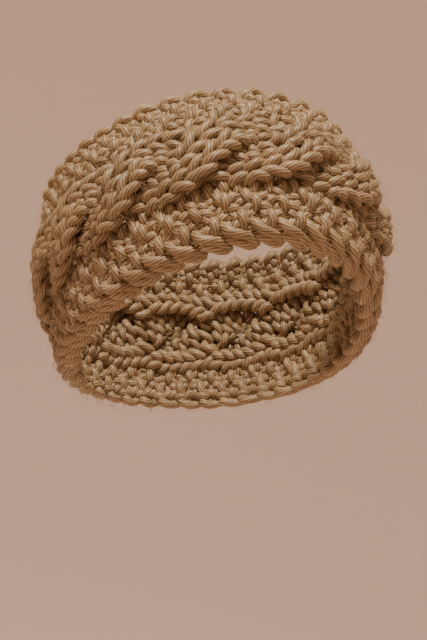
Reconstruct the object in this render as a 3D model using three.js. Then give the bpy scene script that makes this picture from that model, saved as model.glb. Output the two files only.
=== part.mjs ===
// A wide cable-knit headband in thick tan yarn, in the form it takes on a head.
// It is one knitted strip, closed into a loop, and is built here as the four parts that a knitter
// sees in it: a bumpy border along each edge, and between them two strands that cross over each
// other all the way round like a rope. The loop leans back, high over the forehead and low at the
// nape, and narrows towards the crown.
// Millimetres, +Z up, the wearer faces -Y. The origin is the middle of the opening for the head.
import * as THREE from "three";

// The knitting: rows lie across the strip, and their number sets every repeat round the loop.
const ROWS = 84;
const ROWS_PER_TWIST = 12; // the strands swap places twice in each
const ROWS_PER_EDGE_BUMP = 2; // the yarn turns back at each edge once in two rows
const STEPS_PER_ROW = 2;

// The strip as a whole.
const STRIP_WIDTH = 101;
const TILT_DEG = 38; // how far the loop leans back from level
const SADDLE = 5.5; // the front and back ride this much higher than the sides, which cover the ears

// The middle layer of the fabric, in sections across the strip from the lower edge to the upper.
const loopSections = [
  { across: 0, height: -47, halfWidth: 75, front: 101.5, back: 103.5 },
  { across: 25, height: -23.5, halfWidth: 80, front: 104.5, back: 105.5 },
  { across: 50.5, height: 0, halfWidth: 83, front: 102.5, back: 104 },
  { across: 76, height: 23.5, halfWidth: 84, front: 95.5, back: 99.5 },
  { across: 101, height: 46, halfWidth: 82.5, front: 84, back: 92 },
];

// The cable: two strands that wind round one another, each an oval in section.
const CABLE_MIDDLE = STRIP_WIDTH / 2; // from either edge of the strip
const CABLE_LIFT = 4; // its middle stands out from the middle of the fabric
const STRAND_HALF_WIDTH = 9;
const STRAND_HALF_THICKNESS = 4;
const STRAND_CLEARANCE = 0.2;
const STRAND_SIDES = 8;

// A border, from its free edge to the groove beside the cable. A row of the table is one point of
// its section: how far it lies in from the edge, how far it stands out from the fabric's middle,
// and the share of the edge bump that it follows.
const EDGE_BUMP = 3.2;
const borderSection = [
  { inFromEdge: 1.5, lift: 0.3, bumpShare: 1 },
  { inFromEdge: 4.5, lift: 3.8, bumpShare: 0.6 },
  { inFromEdge: 14, lift: 5.2, bumpShare: 0 },
  { inFromEdge: 25, lift: 3.8, bumpShare: 0 },
];
const borderLining = [
  { inFromEdge: 19, lift: -4, bumpShare: 0 },
  { inFromEdge: 5, lift: -3.8, bumpShare: 0.6 },
];

// Beside the cable a border ends in a groove, and a tongue of it runs in under a raised strand.
const GROOVE_GAP = 0.5;
const GROOVE_LIFT = 0.7;
const GROOVE_FLOOR = -3.9;
const TONGUE_REACH = 16;
const TONGUE_END = -0.25; // the strand's height over the cable's middle, as a share, that ends it
const TONGUE_CLEARANCE = 1.6; // below the strand's lowest line
const TONGUE_TIP = { lowest: -3.4, highest: 0.6, climb: 1.4 };

const FULL_TURN = 2 * Math.PI;
const { clamp, degToRad } = THREE.MathUtils;

// Reads one column of loopSections at a place across the strip, along a smooth curve.
function sectionValue(column, across) {
  const last = loopSections.length - 1;
  let i = 0;
  while (i < last - 1 && across > loopSections[i + 1].across) i++;
  const at = (k) => loopSections[Math.min(Math.max(k, 0), last)];
  const slope = (k) => (at(k + 1)[column] - at(k - 1)[column]) / (at(k + 1).across - at(k - 1).across);
  const span = at(i + 1).across - at(i).across;
  const t = (across - at(i).across) / span;
  const rise = at(i + 1)[column] - at(i)[column];
  const setOff = slope(i) * span;
  const arrive = slope(i + 1) * span;
  const bend = 3 * rise - 2 * setOff - arrive + t * (setOff + arrive - 2 * rise);
  return at(i)[column] + t * (setOff + t * bend);
}

// A point of the fabric's middle layer. Angle 0 is the front, and it grows towards +X.
function layerPoint(angle, across) {
  const reach = Math.cos(angle) > 0 ? "front" : "back";
  return new THREE.Vector3(
    sectionValue("halfWidth", across) * Math.sin(angle),
    -sectionValue(reach, across) * Math.cos(angle),
    sectionValue("height", across) + SADDLE * Math.cos(2 * angle),
  );
}

// The angles at which the steps round the loop lie, equally far apart along the strip's middle.
function anglesOfSteps() {
  const samples = 2880;
  const lengths = [0];
  for (let i = 1; i <= samples; i++) {
    const from = layerPoint(((i - 1) / samples) * FULL_TURN, STRIP_WIDTH / 2);
    const to = layerPoint((i / samples) * FULL_TURN, STRIP_WIDTH / 2);
    lengths.push(lengths[i - 1] + from.distanceTo(to));
  }
  const steps = ROWS * STEPS_PER_ROW;
  const angles = [];
  for (let step = 0, i = 0; step < steps; step++) {
    const wanted = (lengths[samples] * step) / steps;
    while (lengths[i + 1] <= wanted) i++;
    const share = (wanted - lengths[i]) / (lengths[i + 1] - lengths[i]);
    angles.push(((i + share) / samples) * FULL_TURN);
  }
  return angles;
}

const stepAngles = anglesOfSteps();

// A point that stands out from the middle layer by its lift.
function fabricPoint(step, across, lift) {
  const angle = stepAngles[step];
  const nudge = { angle: 0.001, across: 0.05 };
  const round = layerPoint(angle + nudge.angle, across).sub(layerPoint(angle - nudge.angle, across));
  const up = layerPoint(angle, across + nudge.across).sub(layerPoint(angle, across - nudge.across));
  return layerPoint(angle, across).addScaledVector(round.cross(up).normalize(), lift);
}

// One closed tube round the loop. sectionAt(row) lists its section's [across, lift] points, and
// these run from the lower edge over the outside to the upper edge and back along the inside.
function loopGeometry(sectionAt) {
  const positions = [];
  const faces = [];
  const steps = stepAngles.length;
  const count = sectionAt(0).length;
  for (let step = 0; step < steps; step++) {
    for (const [across, lift] of sectionAt(step / STEPS_PER_ROW)) {
      positions.push(...fabricPoint(step, across, lift).toArray());
    }
    const here = step * count;
    const next = ((step + 1) % steps) * count;
    for (let k = 0; k < count; k++) {
      const m = (k + 1) % count;
      faces.push(here + k, next + k, next + m, here + k, next + m, here + m);
    }
  }
  const geometry = new THREE.BufferGeometry();
  geometry.setAttribute("position", new THREE.Float32BufferAttribute(positions, 3));
  geometry.setIndex(faces);
  geometry.computeVertexNormals();
  return geometry;
}

// How far the cable has turned about itself by this row.
function twistAt(row) {
  return (row / ROWS_PER_TWIST) * FULL_TURN;
}

// How far a strand's middle stands above the cable's, where raised runs from -1 to 1.
function strandRise(raised) {
  return (STRAND_HALF_THICKNESS + STRAND_CLEARANCE) * raised;
}

// A strand's section. At a quarter of the twist it lies beside the other strand, above it on the
// strip, and at the start and the half it passes over the other one and under it.
function strandSection(twist) {
  const across = CABLE_MIDDLE + (STRAND_HALF_WIDTH + STRAND_CLEARANCE) * Math.sin(twist);
  const lift = CABLE_LIFT + strandRise(Math.cos(twist));
  const section = [];
  for (let k = 0; k < STRAND_SIDES; k++) {
    const turn = (k / STRAND_SIDES) * FULL_TURN;
    section.push([
      across - STRAND_HALF_WIDTH * Math.cos(turn),
      lift + STRAND_HALF_THICKNESS * Math.sin(turn),
    ]);
  }
  return section;
}

// A border's section, measured in from its free edge. firstTurn is a row where the yarn turns back
// at this edge, and twist is strand a's, counted towards this border's side of the strip.
function borderSectionAt(row, firstTurn, twist) {
  const bump = EDGE_BUMP * Math.abs(Math.cos((Math.PI * (row - firstTurn)) / ROWS_PER_EDGE_BUMP));
  const sideways = Math.abs(Math.sin(twist));
  const raised = Math.sin(twist) < 0 ? -Math.cos(twist) : Math.cos(twist);
  const strandReach = (STRAND_HALF_WIDTH + STRAND_CLEARANCE) * sideways + STRAND_HALF_WIDTH;
  const inner = CABLE_MIDDLE - strandReach - GROOVE_GAP;
  const tongue = TONGUE_REACH * sideways * clamp(1 - raised / TONGUE_END, 0, 1);
  const underStrand = CABLE_LIFT + strandRise(raised) - STRAND_HALF_THICKNESS - TONGUE_CLEARANCE;
  const highestTip = TONGUE_TIP.highest + TONGUE_TIP.climb * sideways;
  const follow = (p) => [p.inFromEdge - bump * p.bumpShare, p.lift];
  return [
    ...borderSection.map(follow),
    [inner, GROOVE_LIFT],
    [inner + tongue, clamp(underStrand, TONGUE_TIP.lowest, highestTip)],
    [inner + tongue, GROOVE_FLOOR],
    ...borderLining.map(follow),
  ];
}

// The same section for the other edge of the strip.
function turnedOver(section) {
  return section.map(([across, lift]) => [STRIP_WIDTH - across, lift]).reverse();
}

const yarn = { color: new THREE.Color(0xc6a274), roughness: 0.75, metalness: 0 };
const strandYarn = { ...yarn, color: new THREE.Color(0xbf9a6b) };

const worn = new THREE.Group();
worn.rotation.x = -degToRad(TILT_DEG);

function addPiece(name, finish, sectionAt) {
  const piece = new THREE.Mesh(loopGeometry(sectionAt), new THREE.MeshStandardMaterial(finish));
  piece.name = name;
  worn.add(piece);
}

addPiece("lower_border", yarn, (row) => borderSectionAt(row, -0.5, -twistAt(row)));
addPiece("cable_strand_a", strandYarn, (row) => strandSection(twistAt(row)));
addPiece("cable_strand_b", strandYarn, (row) => strandSection(twistAt(row) + Math.PI));
addPiece("upper_border", yarn, (row) => turnedOver(borderSectionAt(row, 0.5, twistAt(row))));

const headband = new THREE.Group();
headband.add(worn);

export default headband;
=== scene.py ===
import math

import bpy
import numpy as np
from mathutils import Matrix, Vector


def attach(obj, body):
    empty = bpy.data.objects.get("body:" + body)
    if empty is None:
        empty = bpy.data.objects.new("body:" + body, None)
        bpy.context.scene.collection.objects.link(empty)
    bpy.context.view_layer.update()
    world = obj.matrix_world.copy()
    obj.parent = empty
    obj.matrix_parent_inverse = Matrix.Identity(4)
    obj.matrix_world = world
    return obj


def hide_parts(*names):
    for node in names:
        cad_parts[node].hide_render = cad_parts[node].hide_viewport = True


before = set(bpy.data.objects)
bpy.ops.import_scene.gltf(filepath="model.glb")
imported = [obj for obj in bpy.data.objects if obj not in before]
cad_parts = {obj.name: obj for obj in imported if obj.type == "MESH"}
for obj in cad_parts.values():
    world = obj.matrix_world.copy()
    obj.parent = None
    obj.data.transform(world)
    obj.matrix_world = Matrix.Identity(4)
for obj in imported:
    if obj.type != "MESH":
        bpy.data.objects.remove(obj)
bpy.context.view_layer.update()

# The strip's form as worn
# The real band is one soft strip of knitting, closed into a loop and stretched as it is worn. Its
# middle layer is a tapered oval loop, in millimetres, that leans back. Row 0 is at the front.
ROWS = 84
STRIP_WIDTH = 101.0
LEAN = math.radians(38)
SADDLE = 5.5  # the front and back ride this much higher than the sides
LOOP_ACROSS = np.array([0, 25, 50.5, 76, 101])
LOOP_HEIGHT = np.array([-47, -23.5, 0, 23.5, 46])
LOOP_HALF_WIDTH = np.array([75, 80, 83, 84, 82.5])
LOOP_FRONT = np.array([101.5, 104.5, 102.5, 95.5, 84])
LOOP_BACK = np.array([103.5, 105.5, 104, 99.5, 92])
LOOP_SAMPLES = 2880
NUDGE_ROUND, NUDGE_ACROSS = 0.001, 0.05
MILLIMETRES_A_METRE = 1000


# Reads one of the loop's sizes at a place across the strip, along a smooth curve.
def loop_size(column, across):
    knots = np.concatenate([LOOP_ACROSS[:1], LOOP_ACROSS, LOOP_ACROSS[-1:]])
    values = np.concatenate([column[:1], column, column[-1:]])
    slopes = (values[2:] - values[:-2]) / (knots[2:] - knots[:-2])
    i = np.clip(np.searchsorted(LOOP_ACROSS, across, side="right") - 1, 0, len(LOOP_ACROSS) - 2)
    span = LOOP_ACROSS[i + 1] - LOOP_ACROSS[i]
    t = (across - LOOP_ACROSS[i]) / span
    rise = column[i + 1] - column[i]
    leave, arrive = slopes[i] * span, slopes[i + 1] * span
    bend = 3 * rise - 2 * leave - arrive + t * (leave + arrive - 2 * rise)
    return column[i] + t * (leave + t * bend)


# Points of the middle layer. Angle 0 is the front, and it grows towards the wearer's left, +X.
def layer_point(angle, across):
    reach = np.where(np.cos(angle) > 0, loop_size(LOOP_FRONT, across), loop_size(LOOP_BACK, across))
    height = loop_size(LOOP_HEIGHT, across) + SADDLE * np.cos(2 * angle)
    width = loop_size(LOOP_HALF_WIDTH, across)
    return np.stack([width * np.sin(angle), -reach * np.cos(angle), height], axis=1)


loop_angles = np.linspace(0, 2 * np.pi, LOOP_SAMPLES + 1)
middle_line = layer_point(loop_angles, np.full(LOOP_SAMPLES + 1, STRIP_WIDTH / 2))
middle_steps = np.linalg.norm(np.diff(middle_line, axis=0), axis=1)
middle_lengths = np.concatenate([[0], np.cumsum(middle_steps)])


# Takes points of the flat strip, each a row, a place across and a lift off its middle layer, to
# their places on the worn band, in metres.
def as_worn(row, across, lift):
    share = row / ROWS - np.floor(row / ROWS)
    angle = np.interp(share * middle_lengths[-1], middle_lengths, loop_angles)
    round_loop = layer_point(angle + NUDGE_ROUND, across) - layer_point(angle - NUDGE_ROUND, across)
    upwards = layer_point(angle, across + NUDGE_ACROSS) - layer_point(angle, across - NUDGE_ACROSS)
    outward = np.cross(round_loop, upwards)
    outward /= np.linalg.norm(outward, axis=1)[:, None]
    x, y, z = (layer_point(angle, across) + outward * lift[:, None]).T
    c, s = math.cos(LEAN), math.sin(LEAN)
    return np.stack([x, y * c + z * s, z * c - y * s], axis=1) / MILLIMETRES_A_METRE


# The stitches
# A stitch is one loop of yarn: it leaves the row, runs up one leg, over the top and down the other
# leg. A knit stitch shows its legs in front, and a purl stitch its top and its feet.
ROW_PITCH = 7.0
ROWS_A_TWIST = 12
POINTS_A_STITCH = 20
# The stretches of a leg, as shares of its way up, in which it comes through the stitch below,
# passes to the side on which the stitch above shows, and turns over behind that one.
COMES_THROUGH, PASSES_OVER, TURNS_BACK = (0.16, 0.36), (0.38, 0.62), (0.66, 0.86)


def eased(stretch, way_up):
    start, end = stretch
    share = np.clip((way_up - start) / (end - start), 0, 1)
    return share * share * (3 - 2 * share)


# side is 1 for a knit stitch and -1 for a purl stitch, and above says the same of the next row's.
def stitch(width, length, depth, side, above, waist=0.14, foot=1.0, points=POINTS_A_STITCH):
    turn = 2 * np.pi * (np.arange(points) + 0.5) / points
    way_up = 1 - np.abs(turn / np.pi - 1)
    across = width * (turn / (2 * np.pi) - 0.5 + waist * np.sin(2 * turn))
    along = length / 2 * (1 - np.cos(turn))
    out = -side * foot + (1 + foot) * side * eased(COMES_THROUGH, way_up)
    out = out + (above - side) * eased(PASSES_OVER, way_up)
    out -= 2 * above * eased(TURNS_BACK, way_up)
    return across, along, depth * out


# The cable's course: two strands of two stitches, which swap places in every sixth row. A strand
# is spread a little where it lies under the other one, so that it closes the groove there.
STRAND_SHIFT = 9.8
STRAND_LIFT, STRAND_RISE = 4.4, 4.0
UNDER_SPREAD = 2.4
WALE = 9.7
CABLE_LENGTH, CABLE_DEPTH = 10.6, 2.25
SWAP_SHARPNESS = 1.15
SWAP_ROW = 0.85
STITCH_LEAN = 0.68


def strand_place(row, which):
    turn = 2 * np.pi * (row - SWAP_ROW) / ROWS_A_TWIST + (0 if which == "a" else np.pi)
    swing = SWAP_SHARPNESS * np.sin(turn)
    across = STRIP_WIDTH / 2 + STRAND_SHIFT * np.tanh(swing) / np.tanh(SWAP_SHARPNESS)
    slope = STRAND_SHIFT * SWAP_SHARPNESS * np.cos(turn) / np.cosh(swing) ** 2
    slope = slope / np.tanh(SWAP_SHARPNESS) * (2 * np.pi / ROWS_A_TWIST / ROW_PITCH)
    return across, STRAND_LIFT + STRAND_RISE * np.cos(turn), slope


def cable_stitch(column, row, which):
    x, y, z = stitch(WALE, CABLE_LENGTH, CABLE_DEPTH, side=1, above=1)
    across, lift, slope = strand_place(row + y / ROW_PITCH, which)
    under = np.clip((STRAND_LIFT - lift) / STRAND_RISE, 0, 1)
    wale = (WALE / 2 + UNDER_SPREAD * under) * (-1 if column % 2 == 0 else 1)
    lean = STITCH_LEAN * slope
    turned, leaning = np.sqrt(1 + slope ** 2), np.sqrt(1 + lean ** 2)
    return np.stack([
        across + wale / turned + x / leaning,
        row * ROW_PITCH + y - wale * slope / turned - x * lean / leaning,
        lift + z,
    ], 1)


# The strip is twelve columns of stitches wide, and the cable takes the middle four. From each edge
# inwards the others are an edge stitch two rows long, two columns of seed stitch, and a purl column
# that dives into the groove by the cable.
COLUMNS = 12
EDGE_COLUMNS, GROOVE_COLUMNS, CABLE_COLUMNS = (0, 11), (3, 8), (4, 5, 6, 7)
EDGE_WIDTH, EDGE_LENGTH, EDGE_DEPTH = 8.0, 17.2, 1.6
EDGE_IN, EDGE_LIFT = 3.6, 0.4
SEED_START, SEED_LIFT = 6.2, 1.0
SEED_WIDTH, SEED_LENGTH, SEED_DEPTH, SEED_WAIST = 8.3, 10.4, 3.0, 0.27
SEED_SPREAD = 0.16  # how much wider the seed stitches lie where the cable is narrow
GROOVE_START, GROOVE_LIFT, GROOVE_DEPTH = 22.8, 1.4, 2.6
GROOVE_WAIST, GROOVE_FOOT = 0.3, 0.1
DIVE_SLOPE, DIVE_DEPTH = 0.42, 3.4
TUCK_IN = 3.6  # how far the purl column reaches in under the cable
BORDER_MIDDLE = 0.7  # about a border stitch's middle, in rows above its foot


def knit_side(column, row):
    if column in GROOVE_COLUMNS:
        return -1
    if column in EDGE_COLUMNS or column in CABLE_COLUMNS:
        return 1
    return 1 if (row + column) % 2 == 0 else -1


# The edge stitches fold over the edge. On the lower edge they lie slanted, like leaves, and on the
# upper edge the outer leg of each is pulled out into a knob.
LEAF_SLANT, LEAF_FOLD = 7.0, math.radians(32)
KNOB_SLANT, KNOB_FOLD = 1.2, math.radians(-15)
KNOB_DRAW_IN, KNOB_REACH, KNOB_LIFT, KNOB_SHARE = 3.0, 6.0, 3.5, 0.125
POINTS_A_KNOB = 30


def edge_stitch(column, side, above):
    if column == 0:
        x, y, z = stitch(EDGE_WIDTH, EDGE_LENGTH, EDGE_DEPTH, side, above)
        slant, fold = LEAF_SLANT, LEAF_FOLD
    else:
        x, y, z = stitch(EDGE_WIDTH, EDGE_LENGTH, EDGE_DEPTH, side, above, points=POINTS_A_KNOB)
        outer = np.clip(-x, 0, 1)
        knob = outer * np.exp(-((y / EDGE_LENGTH - 0.5) / KNOB_SHARE) ** 2)
        x, z = x + KNOB_DRAW_IN * outer - KNOB_REACH * knob, z + KNOB_LIFT * knob
        slant, fold = KNOB_SLANT, KNOB_FOLD
    x = x + slant * (0.5 - y / EDGE_LENGTH)
    c, s = math.cos(fold), math.sin(fold)
    return EDGE_IN + c * x - s * z, y, EDGE_LIFT + s * x + c * z


def seed_stitch(in_from_edge, spread, side, above):
    x, y, z = stitch(SEED_WIDTH, SEED_LENGTH, SEED_DEPTH, side, above, waist=SEED_WAIST)
    return SEED_START + (x + SEED_WIDTH * (in_from_edge - 0.5)) * spread, y, z + SEED_LIFT


def groove_stitch(cable_edge, spread, side, above):
    start = SEED_START + (GROOVE_START - SEED_START) * spread
    width = cable_edge + TUCK_IN - start
    x, y, z = stitch(
        width, SEED_LENGTH, GROOVE_DEPTH, side, above, waist=GROOVE_WAIST, foot=GROOVE_FOOT,
    )
    x = x + start + width / 2
    return x, y, z + GROOVE_LIFT - np.minimum(DIVE_SLOPE * (x - start), DIVE_DEPTH)


def border_stitch(column, row):
    in_from_edge = min(column, COLUMNS - 1 - column)
    side, above = knit_side(column, row), knit_side(column, row + 1)
    turn = 2 * math.pi * (row + BORDER_MIDDLE - SWAP_ROW) / ROWS_A_TWIST
    # How far out the cable's outer strand lies in this row, from 0 at a crossing to 1 between two.
    reach = math.tanh(SWAP_SHARPNESS * abs(math.sin(turn))) / math.tanh(SWAP_SHARPNESS)
    spread = 1 + SEED_SPREAD * (1 - reach)
    if column in EDGE_COLUMNS:
        x, y, z = edge_stitch(column, side, above)
    elif column in GROOVE_COLUMNS:
        x, y, z = groove_stitch(STRIP_WIDTH / 2 - STRAND_SHIFT * reach - WALE, spread, side, above)
    else:
        x, y, z = seed_stitch(in_from_edge, spread, side, above)
    if column != in_from_edge:
        x, y, z = STRIP_WIDTH - x[::-1], y[::-1], z[::-1]
    return np.stack([x, y + row * ROW_PITCH, z], 1)


# The yarn's way through one repeat of the pattern
# One yarn knits all four panels. It runs up one row and down the next, and turns round behind the
# edge stitch. Each stretch of it is marked with the panel that it belongs to.
LOWER, STRAND_A, STRAND_B, UPPER = range(4)
CABLE_MIDDLE_ROW = 0.75  # about a cable stitch's middle, in rows above its foot
POINTS_A_TURN, TURN_DEPTH = 8, 2.4


def one_repeat():
    points, panels = [], []
    for row in range(ROWS_A_TWIST):
        a_above = math.sin(2 * math.pi * (row + CABLE_MIDDLE_ROW - SWAP_ROW) / ROWS_A_TWIST) > 0
        wales = "bbaa" if a_above else "aabb"
        upwards = row % 2 == 0
        course = []
        # An edge stitch is knitted in every second row only, on the way out to its edge.
        for column in range(1, COLUMNS) if upwards else range(COLUMNS - 1):
            if column in CABLE_COLUMNS:
                which = wales[CABLE_COLUMNS.index(column)]
                panel = STRAND_A if which == "a" else STRAND_B
                course.append((cable_stitch(column, row, which), panel))
            else:
                panel = LOWER if column < CABLE_COLUMNS[0] else UPPER
                course.append((border_stitch(column, row), panel))
        if not upwards:
            course = [(way[::-1], panel) for way, panel in course[::-1]]
        edge, beside, end = (0, 1, 0) if upwards else (COLUMNS - 1, COLUMNS - 2, -1)
        leave, arrive = border_stitch(edge, row - 1)[end], border_stitch(beside, row)[end]
        share = (np.arange(POINTS_A_TURN)[:, None] + 0.5) / POINTS_A_TURN
        turn = leave + (arrive - leave) * share
        turn[:, 2] -= TURN_DEPTH * np.sin(np.pi * share[:, 0])
        for way, panel in [(turn, LOWER if upwards else UPPER)] + course:
            points.append(way)
            panels += [panel] * len(way)
    return np.concatenate(points), np.array(panels)


# Real yarn can't pass through itself. Here two turns of it that come closer than YARN_TOUCH push
# each other apart, while its bends stay soft and the drawn pattern pulls it back. The turns end up
# pressed into each other further than real yarn is, and a few still pass through one another.
YARN_TOUCH = 4.2
SETTLING_ROUNDS, ROUNDS_A_SEARCH = 70, 8
SEARCH_MARGIN, SEARCH_BLOCK = 1.6, 512
OWN_NEIGHBOURS = 4  # points this close along the yarn don't push each other
BEND_EASE, BEND_KEEP = 0.25, 0.4
PUSH_SHARE, PATTERN_PULL = 0.9, 0.06


# The shortest way between points of the repeat, which follows on itself at both ends.
def gap_between(a, b, length):
    gap = a - b
    gap[..., 1] -= length * np.round(gap[..., 1] / length)
    return gap


def pairs_that_may_touch(yarn, length):
    index = np.arange(len(yarn))
    rough = yarn.astype(np.float32)
    near = []
    for a in range(0, len(yarn), SEARCH_BLOCK):
        gap = gap_between(rough[a:a + SEARCH_BLOCK, None, :], rough[None, :, :], length)
        apart = np.abs(index[a:a + SEARCH_BLOCK, None] - index[None, :])
        apart = np.minimum(apart, len(yarn) - apart)
        close = (gap * gap).sum(2) < (YARN_TOUCH + SEARCH_MARGIN) ** 2
        i, j = np.nonzero(close & (apart > OWN_NEIGHBOURS))
        near.append(np.stack([i + a, j], 1))
    near = np.concatenate(near)
    return near[near[:, 0] < near[:, 1]]


def settled(drawn):
    length = ROWS_A_TWIST * ROW_PITCH
    yarn = drawn.copy()
    for settling in range(SETTLING_ROUNDS):
        if settling % ROUNDS_A_SEARCH == 0:
            near = pairs_that_may_touch(yarn, length)
        ahead, behind = np.roll(yarn, -1, 0), np.roll(yarn, 1, 0)
        ahead[-1, 1] += length
        behind[0, 1] -= length
        bend = (ahead + behind) / 2 - yarn
        yarn = yarn + BEND_EASE * (bend - BEND_KEEP * (np.roll(bend, -1, 0) + np.roll(bend, 1, 0)))
        i, j = near.T
        gap = gap_between(yarn[i], yarn[j], length)
        reach = np.sqrt((gap * gap).sum(1)) + 1e-6
        close = reach < YARN_TOUCH
        i, j, gap, reach = i[close], j[close], gap[close], reach[close]
        push = gap / reach[:, None] * ((YARN_TOUCH - reach) / 2)[:, None]
        moved, pushes = np.zeros_like(yarn), np.zeros(len(yarn))
        np.add.at(moved, i, push)
        np.add.at(moved, j, -push)
        np.add.at(pushes, i, 1)
        np.add.at(pushes, j, 1)
        crowd = np.sqrt(np.clip(pushes, 1, None) * np.clip(pushes / 2, 1, None))
        yarn = yarn + PUSH_SHARE * moved / crowd[:, None]
        yarn = yarn + PATTERN_PULL * (drawn - yarn)
    return yarn


# Seven repeats close the loop. Hand knitting is never quite even, so slow waves shift the yarn.
UNEVENNESS = 0.22
WAVES_AN_AXIS, MOST_WAVES_ROUND, SHORTEST_WAVE_ACROSS = 9, 40, 14
repeat, repeat_panels = one_repeat()
repeat = settled(repeat)
REPEATS = ROWS // ROWS_A_TWIST
band = np.concatenate([repeat + [0, k * ROWS_A_TWIST * ROW_PITCH, 0] for k in range(REPEATS)])
band_panels = np.tile(repeat_panels, REPEATS)
chance = np.random.default_rng(7)
for axis in range(3):
    for turns, slant, size, start in chance.uniform(-1, 1, (WAVES_AN_AXIS, 4)):
        wave = round(turns * MOST_WAVES_ROUND) * band[:, 1] / (ROWS * ROW_PITCH)
        wave = wave + slant * band[:, 0] / SHORTEST_WAVE_ACROSS + start
        band[:, axis] += UNEVENNESS * size * np.sin(2 * np.pi * wave)
band = as_worn(band[:, 1] / ROW_PITCH, band[:, 0], band[:, 2])


# The stretches of yarn that lie in one panel. Each ends halfway to its neighbour in the next one.
def yarn_stretches(panel):
    starts = np.flatnonzero(np.diff(np.concatenate([[-1], band_panels])) != 0)
    ends = np.append(starts[1:], len(band_panels))
    stretches = []
    for start, end in zip(starts, ends):
        if band_panels[start] == panel:
            way = band[np.arange(start - 1, end + 1) % len(band)]
            way[0] = (way[0] + way[1]) / 2
            way[-1] = (way[-1] + way[-2]) / 2
            stretches.append(way)
    return stretches


# The yarn itself
# Bulky yarn of eight soft plies twisted together, about 5 mm thick. Geometry Nodes sweep a lobed
# section along the yarn's way, turn it with the twist, and let the plies wander a little.
YARN_SIZES = {
    "Radius": 0.0026,
    "Step": 0.0023,
    "Plies": 8,
    "Groove": 0.82,
    "Twist Length": 0.029,
    "Slubs": 0.16,
    "Wander": 0.0004,
}
SLUB_SCALE, WANDER_SCALE, WANDER_STRETCH = 130, 750, 0.15


def new_tree(name, takes, gives, sizes):
    tree = bpy.data.node_groups.new(name, "GeometryNodeTree")
    sockets = tree.interface
    sockets.new_socket(takes, in_out="INPUT", socket_type="NodeSocketGeometry")
    for size_name, size in sizes.items():
        kind = "NodeSocketInt" if isinstance(size, int) else "NodeSocketFloat"
        sockets.new_socket(size_name, in_out="INPUT", socket_type=kind).default_value = size
    sockets.new_socket("Finish", in_out="INPUT", socket_type="NodeSocketMaterial")
    sockets.new_socket(gives, in_out="OUTPUT", socket_type="NodeSocketGeometry")
    return tree


# The end of both trees: real geometry with its material, out through the tree's own socket.
def finish_tree(tree, geometry, finish, gives):
    nodes, links = tree.nodes, tree.links
    real = nodes.new("GeometryNodeRealizeInstances")
    links.new(geometry, real.inputs[0])
    finished = nodes.new("GeometryNodeSetMaterial")
    links.new(real.outputs[0], finished.inputs["Geometry"])
    links.new(finish, finished.inputs["Material"])
    links.new(finished.outputs[0], nodes.new("NodeGroupOutput").inputs[gives])


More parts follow.
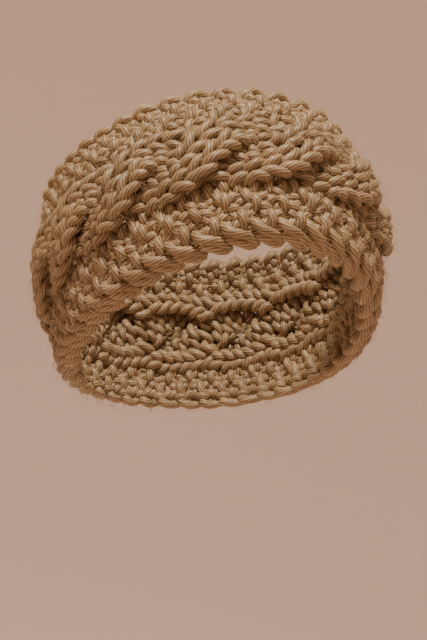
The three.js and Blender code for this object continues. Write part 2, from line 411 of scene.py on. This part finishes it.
def yarn_tree():
    tree = new_tree("plied yarn", "Path", "Yarn", YARN_SIZES)
    nodes, links = tree.nodes, tree.links
    given = nodes.new("NodeGroupInput").outputs

    def worked_out(operation, a, b):
        made = nodes.new("ShaderNodeMath")
        made.operation = operation
        for socket, term in zip(made.inputs, (a, b)):
            if isinstance(term, (int, float)):
                socket.default_value = term
            else:
                links.new(term, socket)
        return made.outputs[0]

    # The path in even steps, tilted further and further so that the section turns with the twist.
    resample = nodes.new("GeometryNodeResampleCurve")
    resample.mode = "LENGTH"
    links.new(given["Path"], resample.inputs["Curve"])
    links.new(given["Step"], resample.inputs["Length"])
    along = nodes.new("GeometryNodeSplineParameter").outputs["Length"]
    twist = nodes.new("GeometryNodeSetCurveTilt")
    links.new(resample.outputs[0], twist.inputs["Curve"])
    turns = worked_out("DIVIDE", along, given["Twist Length"])
    links.new(worked_out("MULTIPLY", turns, -2 * math.pi), twist.inputs["Tilt"])
    keep_along = nodes.new("GeometryNodeCaptureAttribute")
    keep_along.capture_items.new("FLOAT", "Along")
    links.new(twist.outputs[0], keep_along.inputs[0])
    links.new(along, keep_along.inputs["Along"])

    # The section: one lobe a ply, which remembers its place round the yarn and what is a crest.
    section = nodes.new("GeometryNodeCurveStar")
    links.new(given["Plies"], section.inputs["Points"])
    links.new(worked_out("MULTIPLY", given["Radius"], given["Groove"]), section.inputs["Inner Radius"])
    links.new(given["Radius"], section.inputs["Outer Radius"])
    keep_round = nodes.new("GeometryNodeCaptureAttribute")
    keep_round.capture_items.new("FLOAT", "Round")
    keep_round.capture_items.new("FLOAT", "Crest")
    links.new(section.outputs["Curve"], keep_round.inputs[0])
    links.new(nodes.new("GeometryNodeSplineParameter").outputs["Factor"], keep_round.inputs["Round"])
    links.new(section.outputs["Outer Points"], keep_round.inputs["Crest"])

    # The tube, a little thicker and thinner along its way.
    slubs = nodes.new("ShaderNodeTexNoise")
    slubs.inputs["Scale"].default_value = SLUB_SCALE
    uneven = worked_out("MULTIPLY", worked_out("SUBTRACT", slubs.outputs["Fac"], 0.5), given["Slubs"])
    tube = nodes.new("GeometryNodeCurveToMesh")
    links.new(keep_along.outputs[0], tube.inputs["Curve"])
    links.new(keep_round.outputs[0], tube.inputs["Profile Curve"])
    links.new(worked_out("ADD", uneven, 1.0), tube.inputs["Scale"])
    tube.inputs["Fill Caps"].default_value = True

    # Each point's place in the straight yarn and its share of a crest, kept for the painted crease shade.
    angle = worked_out("MULTIPLY", keep_round.outputs["Round"], 2 * math.pi)
    place = nodes.new("ShaderNodeCombineXYZ")
    for axis, part in (("X", "COSINE"), ("Y", "SINE")):
        links.new(worked_out("MULTIPLY", worked_out(part, angle, 0.0), given["Radius"]), place.inputs[axis])
    links.new(keep_along.outputs["Along"], place.inputs["Z"])
    store_place = nodes.new("GeometryNodeStoreNamedAttribute")
    store_place.data_type = "FLOAT_VECTOR"
    store_place.inputs["Name"].default_value = "yarn_place"
    links.new(tube.outputs[0], store_place.inputs["Geometry"])
    links.new(place.outputs[0], store_place.inputs["Value"])
    store_crest = nodes.new("GeometryNodeStoreNamedAttribute")
    store_crest.inputs["Name"].default_value = "crest"
    links.new(store_place.outputs[0], store_crest.inputs["Geometry"])
    links.new(keep_round.outputs["Crest"], store_crest.inputs["Value"])

    # The plies wander in and out, in waves that are long in the yarn's direction.
    stretch = nodes.new("ShaderNodeVectorMath")
    stretch.operation = "MULTIPLY"
    stretch.inputs[1].default_value = (1, 1, WANDER_STRETCH)
    links.new(place.outputs[0], stretch.inputs[0])
    wander = nodes.new("ShaderNodeTexNoise")
    wander.inputs["Scale"].default_value = WANDER_SCALE
    links.new(stretch.outputs[0], wander.inputs["Vector"])
    out_by = worked_out("MULTIPLY", worked_out("SUBTRACT", wander.outputs["Fac"], 0.5), given["Wander"])
    outwards = nodes.new("ShaderNodeVectorMath")
    outwards.operation = "SCALE"
    links.new(nodes.new("GeometryNodeInputNormal").outputs[0], outwards.inputs[0])
    links.new(worked_out("MULTIPLY", out_by, 2.0), outwards.inputs["Scale"])
    loosen = nodes.new("GeometryNodeSetPosition")
    links.new(store_crest.outputs[0], loosen.inputs["Geometry"])
    links.new(outwards.outputs[0], loosen.inputs["Offset"])

    smooth = nodes.new("GeometryNodeSetShadeSmooth")
    links.new(loosen.outputs[0], smooth.inputs["Geometry"])
    finish_tree(tree, smooth.outputs[0], given["Finish"], "Yarn")
    return tree


plied_yarn = yarn_tree()


def set_inputs(modifier, sizes):
    for item in modifier.node_group.interface.items_tree:
        if item.in_out == "INPUT" and item.name in sizes:
            modifier[item.identifier] = sizes[item.name]


def made_plain(carrier, modifier, name):
    bpy.context.view_layer.update()
    graph = bpy.context.evaluated_depsgraph_get()
    mesh = bpy.data.meshes.new_from_object(carrier.evaluated_get(graph), depsgraph=graph)
    carrier.modifiers.remove(modifier)
    bpy.data.objects.remove(carrier)
    piece = bpy.data.objects.new(name, mesh)
    bpy.context.scene.collection.objects.link(piece)
    return piece


def knitted(name, panel, radius, finish):
    curve = bpy.data.curves.new(name, "CURVE")
    curve.dimensions = "3D"
    for way in yarn_stretches(panel):
        spline = curve.splines.new("POLY")
        spline.points.add(len(way) - 1)
        spline.points.foreach_set("co", np.c_[way, np.ones(len(way))].astype(np.float32).ravel())
    path = bpy.data.objects.new(name + "_path", curve)
    bpy.context.scene.collection.objects.link(path)
    modifier = path.modifiers.new("yarn", "NODES")
    modifier.node_group = plied_yarn
    set_inputs(modifier, {**YARN_SIZES, "Radius": radius, "Finish": finish})
    return made_plain(path, modifier, name)


# The yarn's finish: golden tan acrylic, silky along the plies, with painted shade darkening the
# creases between them, and the streaks of its fibres running along the twist.
FIBRE_SCALE, STREAK_SCALE, CLOUD_SCALE = 2400, 620, 70
FIBRE_STRETCH = 0.1  # the noise changes this much more slowly along the yarn than across it
CLOUD_SHARE = 0.7
DARKEST, LIGHTEST = 0.88, 1.82  # sums of the noises that give the dark and the light shade
# Painted shade in the creases between the plies: the share of the colour left at the deepest crease, and
# the crest share at which the painted shade ends.
PAINTED_CREASE_SHADE, PAINTED_SHADE_END = 0.32, 0.7
# The Mix node's colour sockets have the names of its number sockets, so they go by their index.
MIX_SHARE, MIX_A, MIX_B, MIX_RESULT = 0, 6, 7, 2


def yarn_finish(name, light, dark):
    material = bpy.data.materials.new(name)
    material.use_nodes = True
    nodes, links = material.node_tree.nodes, material.node_tree.links
    shader = nodes["Principled BSDF"]

    # Fine and coarse streaks that follow the plies, and clouds over the whole band.
    place = nodes.new("ShaderNodeAttribute")
    place.attribute_name = "yarn_place"
    stretch = nodes.new("ShaderNodeMapping")
    stretch.inputs["Scale"].default_value = (1, 1, FIBRE_STRETCH)
    links.new(place.outputs["Vector"], stretch.inputs["Vector"])
    fibres = nodes.new("ShaderNodeTexNoise")
    fibres.inputs["Scale"].default_value = FIBRE_SCALE
    fibres.inputs["Detail"].default_value = 4
    fibres.inputs["Roughness"].default_value = 0.6
    links.new(stretch.outputs[0], fibres.inputs["Vector"])
    streaks = nodes.new("ShaderNodeTexNoise")
    streaks.inputs["Scale"].default_value = STREAK_SCALE
    streaks.inputs["Detail"].default_value = 1
    links.new(stretch.outputs[0], streaks.inputs["Vector"])
    cloud = nodes.new("ShaderNodeTexNoise")
    cloud.inputs["Scale"].default_value = CLOUD_SCALE
    links.new(nodes.new("ShaderNodeTexCoord").outputs["Object"], cloud.inputs["Vector"])
    both = nodes.new("ShaderNodeMath")
    both.operation = "ADD"
    links.new(fibres.outputs["Fac"], both.inputs[0])
    links.new(streaks.outputs["Fac"], both.inputs[1])
    all_three = nodes.new("ShaderNodeMath")
    all_three.operation = "MULTIPLY_ADD"
    links.new(cloud.outputs["Fac"], all_three.inputs[0])
    all_three.inputs[1].default_value = CLOUD_SHARE
    links.new(both.outputs[0], all_three.inputs[2])

    # From the dark to the light tone, and painted shade that darkens the creases between the plies.
    spread = nodes.new("ShaderNodeMapRange")
    spread.inputs["From Min"].default_value = DARKEST
    spread.inputs["From Max"].default_value = LIGHTEST
    links.new(all_three.outputs[0], spread.inputs["Value"])
    shades = nodes.new("ShaderNodeValToRGB")
    for end, colour in zip(shades.color_ramp.elements, (dark, light)):
        end.color = (*colour, 1)
    links.new(spread.outputs[0], shades.inputs[0])
    crest = nodes.new("ShaderNodeAttribute")
    crest.attribute_name = "crest"
    crease = nodes.new("ShaderNodeMapRange")
    crease.inputs["From Max"].default_value = PAINTED_SHADE_END
    crease.inputs["To Min"].default_value = PAINTED_CREASE_SHADE
    links.new(crest.outputs["Fac"], crease.inputs["Value"])
    tint = nodes.new("ShaderNodeMix")
    tint.data_type = "RGBA"
    tint.blend_type = "MULTIPLY"
    tint.inputs[MIX_SHARE].default_value = 1.0
    links.new(shades.outputs["Color"], tint.inputs[MIX_A])
    links.new(crease.outputs[0], tint.inputs[MIX_B])
    links.new(tint.outputs[MIX_RESULT], shader.inputs["Base Color"])

    bump = nodes.new("ShaderNodeBump")
    bump.inputs["Strength"].default_value = 0.4
    bump.inputs["Distance"].default_value = 0.0005
    links.new(both.outputs[0], bump.inputs["Height"])
    links.new(bump.outputs[0], shader.inputs["Normal"])
    shader.inputs["Roughness"].default_value = 0.42
    shader.inputs["Specular IOR Level"].default_value = 0.5
    shader.inputs["Sheen Weight"].default_value = 0.15
    shader.inputs["Sheen Roughness"].default_value = 0.4
    shader.inputs["Sheen Tint"].default_value = (1.0, 0.85, 0.6, 1)
    return material


# The lower border
# Seed stitch along the free lower edge, whose slipped edge stitches lie like a row of slanted
# leaves, one to two rows. Knitted in one with the cable, so it is held by its own yarn.
BORDER_RADIUS = 0.0026
border_yarn = yarn_finish("tan_border_yarn", light=(0.62, 0.445, 0.265), dark=(0.30, 0.205, 0.11))
lower_border = knitted("lower_border_knit", LOWER, BORDER_RADIUS, border_yarn)
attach(lower_border, "root")
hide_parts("lower_border")

# The cable's two strands
# Each is two stitches wide in plain knit stitch, worked with a cable needle so that one passes
# over the other in every sixth row. The strand that climbs to the right is always on top.
STRAND_RADIUS = 0.0025
# A slightly darker copy of the border yarn, though one yarn knits all four panels: painted shade on the
# cable.
cable_yarn = yarn_finish("tan_cable_yarn", light=(0.585, 0.42, 0.25), dark=(0.272, 0.182, 0.095))
for panel, node in ((STRAND_A, "cable_strand_a"), (STRAND_B, "cable_strand_b")):
    strand = knitted(node + "_knit", panel, STRAND_RADIUS, cable_yarn)
    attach(strand, "root")
    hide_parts(node)

# The upper border
# The lower border's twin along the upper edge, which is drawn in towards the crown. Its slipped
# edge stitches stand up in a row of round knobs, one to two rows.
upper_border = knitted("upper_border_knit", UPPER, BORDER_RADIUS, border_yarn)
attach(upper_border, "root")
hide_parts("upper_border")

# The halo of stray fibres
# Fine fibre ends work loose from the plies all over soft acrylic yarn. Each is held in the yarn at
# one end and stands off it by one to three millimetres, so the knitting's outline looks soft.
HALO_SIZES = {
    "Fibres a Square Metre": 52000.0,
    "Fibre Length": 0.005,
    "Fibre Radius": 0.00005,
    "Shortest": 0.5,
    "Longest": 1.4,
    "Seed": 5,
}
# One fibre's start, bend and end, in fibre lengths. The third number points out of the yarn.
FIBRE_FORM = {"Start": (0, 0, -0.08), "Middle": (0.25, 0.15, 0.75), "End": (1.0, -0.2, 0.3)}
FIBRE_STEPS, FIBRE_SIDES = 2, 3
# The Random Value node has these sockets once for each kind of value, so they go by their index.
RANDOM_MIN, RANDOM_MAX, RANDOM_VALUE = 2, 3, 1


def halo_tree():
    tree = new_tree("stray fibres", "Yarn", "Fibres", HALO_SIZES)
    nodes, links = tree.nodes, tree.links
    given = nodes.new("NodeGroupInput").outputs

    # The roots: points strewn over the faces that look away from the middle of the band.
    outward = nodes.new("ShaderNodeVectorMath")
    outward.operation = "DOT_PRODUCT"
    links.new(nodes.new("GeometryNodeInputNormal").outputs[0], outward.inputs[0])
    links.new(nodes.new("GeometryNodeInputPosition").outputs[0], outward.inputs[1])
    outside = nodes.new("FunctionNodeCompare")
    outside.operation = "GREATER_THAN"
    links.new(outward.outputs["Value"], outside.inputs["A"])
    outside.inputs["B"].default_value = 0.0
    roots = nodes.new("GeometryNodeDistributePointsOnFaces")
    links.new(given["Yarn"], roots.inputs["Mesh"])
    links.new(outside.outputs[0], roots.inputs["Selection"])
    links.new(given["Fibres a Square Metre"], roots.inputs["Density"])
    links.new(given["Seed"], roots.inputs["Seed"])

    # One fibre: a thin bent thread of three sides, whose foot lies just inside the yarn.
    fibre = nodes.new("GeometryNodeCurveQuadraticBezier")
    fibre.inputs["Resolution"].default_value = FIBRE_STEPS
    for end, place in FIBRE_FORM.items():
        scaled = nodes.new("ShaderNodeVectorMath")
        scaled.operation = "SCALE"
        scaled.inputs[0].default_value = place
        links.new(given["Fibre Length"], scaled.inputs["Scale"])
        links.new(scaled.outputs[0], fibre.inputs[end])
    section = nodes.new("GeometryNodeCurvePrimitiveCircle")
    section.inputs["Resolution"].default_value = FIBRE_SIDES
    links.new(given["Fibre Radius"], section.inputs["Radius"])
    thread = nodes.new("GeometryNodeCurveToMesh")
    links.new(fibre.outputs[0], thread.inputs["Curve"])
    links.new(section.outputs[0], thread.inputs["Profile Curve"])
    thread.inputs["Fill Caps"].default_value = True
    tinted = nodes.new("GeometryNodeSetMaterial")
    links.new(thread.outputs[0], tinted.inputs["Geometry"])
    links.new(given["Finish"], tinted.inputs["Material"])

    # Each root gets a fibre that is turned about it and scaled by chance.
    turn = nodes.new("FunctionNodeRandomValue")
    turn.data_type = "FLOAT"
    links.new(given["Seed"], turn.inputs["Seed"])
    turn.inputs[RANDOM_MIN].default_value = 0.0
    turn.inputs[RANDOM_MAX].default_value = 2 * math.pi
    about_root = nodes.new("FunctionNodeAxisAngleToRotation")
    links.new(turn.outputs[RANDOM_VALUE], about_root.inputs["Angle"])
    turned = nodes.new("FunctionNodeRotateRotation")
    turned.rotation_space = "LOCAL"
    links.new(roots.outputs["Rotation"], turned.inputs["Rotation"])
    links.new(about_root.outputs[0], turned.inputs["Rotate By"])
    length = nodes.new("FunctionNodeRandomValue")
    length.data_type = "FLOAT"
    links.new(given["Shortest"], length.inputs[RANDOM_MIN])
    links.new(given["Longest"], length.inputs[RANDOM_MAX])
    links.new(given["Seed"], length.inputs["Seed"])
    strewn = nodes.new("GeometryNodeInstanceOnPoints")
    links.new(roots.outputs["Points"], strewn.inputs["Points"])
    links.new(tinted.outputs[0], strewn.inputs["Instance"])
    links.new(turned.outputs[0], strewn.inputs["Rotation"])
    links.new(length.outputs[RANDOM_VALUE], strewn.inputs["Scale"])
    finish_tree(tree, strewn.outputs[0], given["Finish"], "Fibres")
    return tree


def fibre_finish():
    material = bpy.data.materials.new("loose acrylic fibre")
    material.use_nodes = True
    nodes, links = material.node_tree.nodes, material.node_tree.links
    shader = nodes["Principled BSDF"]
    cloud = nodes.new("ShaderNodeTexNoise")
    cloud.inputs["Scale"].default_value = 400
    links.new(nodes.new("ShaderNodeTexCoord").outputs["Object"], cloud.inputs["Vector"])
    # The fibres are a lighter tan than the yarn they come from: painted light, standing in for the light
    # that passes through thin fibres.
    shades = nodes.new("ShaderNodeValToRGB")
    dark, light = shades.color_ramp.elements
    dark.position, dark.color = 0.35, (0.42, 0.29, 0.15, 1)
    light.position, light.color = 0.65, (0.66, 0.49, 0.30, 1)
    links.new(cloud.outputs["Fac"], shades.inputs[0])
    links.new(shades.outputs["Color"], shader.inputs["Base Color"])
    shader.inputs["Roughness"].default_value = 0.5
    return material


stray_fibres = halo_tree()
fibre_tan_painted_light = fibre_finish()
for node, slot in (
    ("lower_border", "border_yarn"),
    ("cable_strand_a", "cable_yarn"),
    ("cable_strand_b", "cable_yarn"),
    ("upper_border", "border_yarn"),
):
    bed = bpy.data.objects.new(node + "_bed", bpy.data.objects[node + "_knit"].data)
    bpy.context.scene.collection.objects.link(bed)
    modifier = bed.modifiers.new("fibres", "NODES")
    modifier.node_group = stray_fibres
    set_inputs(modifier, {**HALO_SIZES, "Finish": fibre_tan_painted_light})
    halo = made_plain(bed, modifier, node + "_fibres")
    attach(halo, "root")

# The paper sweep that it is shown on
# A pale warm sheet of paper, which lies flat well below the band and curves up into a wall all
# round it. In metres.
FLOOR = -0.55
SWEEP_CENTRE_RADIUS, FLAT_RADIUS, CURVE_RADIUS, WALL_HEIGHT = 0.02, 0.9, 0.9, 2.6
CURVE_STEPS, SWEEP_SIDES = 12, 72
PAPER_COLOUR = (0.79, 0.64, 0.555, 1)


def paper_sweep():
    profile = [(SWEEP_CENTRE_RADIUS, 0.0), (FLAT_RADIUS / 2, 0.0), (FLAT_RADIUS, 0.0)]
    for k in range(1, CURVE_STEPS + 1):
        bend = k / CURVE_STEPS * math.pi / 2
        profile.append((FLAT_RADIUS + CURVE_RADIUS * math.sin(bend), CURVE_RADIUS * (1 - math.cos(bend))))
    profile.append((FLAT_RADIUS + CURVE_RADIUS, WALL_HEIGHT))
    corners, faces = [(0.0, 0.0, FLOOR)], []
    for radius, height in profile:
        for k in range(SWEEP_SIDES):
            angle = 2 * math.pi * k / SWEEP_SIDES
            corners.append((radius * math.cos(angle), radius * math.sin(angle), FLOOR + height))
    for k in range(SWEEP_SIDES):
        faces.append((0, 1 + k, 1 + (k + 1) % SWEEP_SIDES))
    for ring in range(len(profile) - 1):
        first = 1 + ring * SWEEP_SIDES
        for k in range(SWEEP_SIDES):
            a, b = first + k, first + (k + 1) % SWEEP_SIDES
            faces.append((a, a + SWEEP_SIDES, b + SWEEP_SIDES, b))
    mesh = bpy.data.meshes.new("paper sweep")
    mesh.from_pydata(corners, [], faces)
    mesh.shade_smooth()
    sweep = bpy.data.objects.new("paper_sweep", mesh)
    bpy.context.scene.collection.objects.link(sweep)
    paper = bpy.data.materials.new("warm paper")
    paper.use_nodes = True
    shader = paper.node_tree.nodes["Principled BSDF"]
    shader.inputs["Base Color"].default_value = PAPER_COLOUR
    shader.inputs["Roughness"].default_value = 0.8
    sweep.data.materials.append(paper)


paper_sweep()


# The lamps
# A soft key lamp almost overhead, a weak one high in front of the band to open its shadows, and
# the warm light that an indoor room sends back from all sides.
def soft_lamp(name, place, size, watts, colour):
    lamp = bpy.data.lights.new(name, "AREA")
    lamp.shape = "DISK"
    lamp.size = size
    lamp.energy = watts
    lamp.color = colour
    stand = bpy.data.objects.new(name, lamp)
    stand.location = place
    stand.rotation_mode = "QUATERNION"
    stand.rotation_quaternion = (-Vector(place)).to_track_quat("-Z", "Y")
    bpy.context.scene.collection.objects.link(stand)


soft_lamp("key_lamp", place=(-0.3, -0.2, 1.4), size=0.3, watts=29, colour=(1.0, 0.86, 0.70))
soft_lamp("fill_lamp", place=(-0.1, -1.1, 1.15), size=0.6, watts=1.0, colour=(1.0, 0.86, 0.72))
room = bpy.data.worlds.new("room")
bpy.context.scene.world = room
room.use_nodes = True
room_light = room.node_tree.nodes["Background"].inputs
room_light["Color"].default_value = (1.0, 0.84, 0.70, 1)
room_light["Strength"].default_value = 0.12

# The camera
# It stands in front of the band, a little to the left, with a long lens. Its place is given in
# the loop's own frame, in metres, and leans back with the loop.
LENS, SENSOR_WIDTH = 75.0, 36.0
EYE_DISTANCE, EYE_DROP = 0.733, 0.0042
TURN, RISE, ROLL = math.radians(-22.737), math.radians(-27.678), math.radians(-4.84)
AIM_RIGHT, AIM_DOWN = 0.002957, 0.037282


def add_camera():
    camera_data = bpy.data.cameras.new("camera")
    camera_data.lens = LENS
    camera_data.sensor_width = SENSOR_WIDTH
    camera = bpy.data.objects.new("camera", camera_data)
    bpy.context.scene.collection.objects.link(camera)
    bpy.context.scene.camera = camera
    leaned = Matrix.Rotation(-LEAN, 3, "X")
    back = Vector((math.sin(TURN) * math.cos(RISE), -math.cos(TURN) * math.cos(RISE), math.sin(RISE)))
    level = Vector((math.cos(TURN), math.sin(TURN), 0))
    upright = back.cross(level)
    right = leaned @ (math.cos(ROLL) * level + math.sin(ROLL) * upright)
    up = leaned @ (math.cos(ROLL) * upright - math.sin(ROLL) * level)
    eye = leaned @ (back * EYE_DISTANCE - Vector((0, 0, EYE_DROP)))
    ahead = (leaned @ -back + right * AIM_RIGHT - up * AIM_DOWN).normalized()
    side = ahead.cross(up).normalized()
    top = side.cross(ahead)
    camera.matrix_world = Matrix((
        (side.x, top.x, -ahead.x, eye.x),
        (side.y, top.y, -ahead.y, eye.y),
        (side.z, top.z, -ahead.z, eye.z),
        (0, 0, 0, 1),
    ))


add_camera()
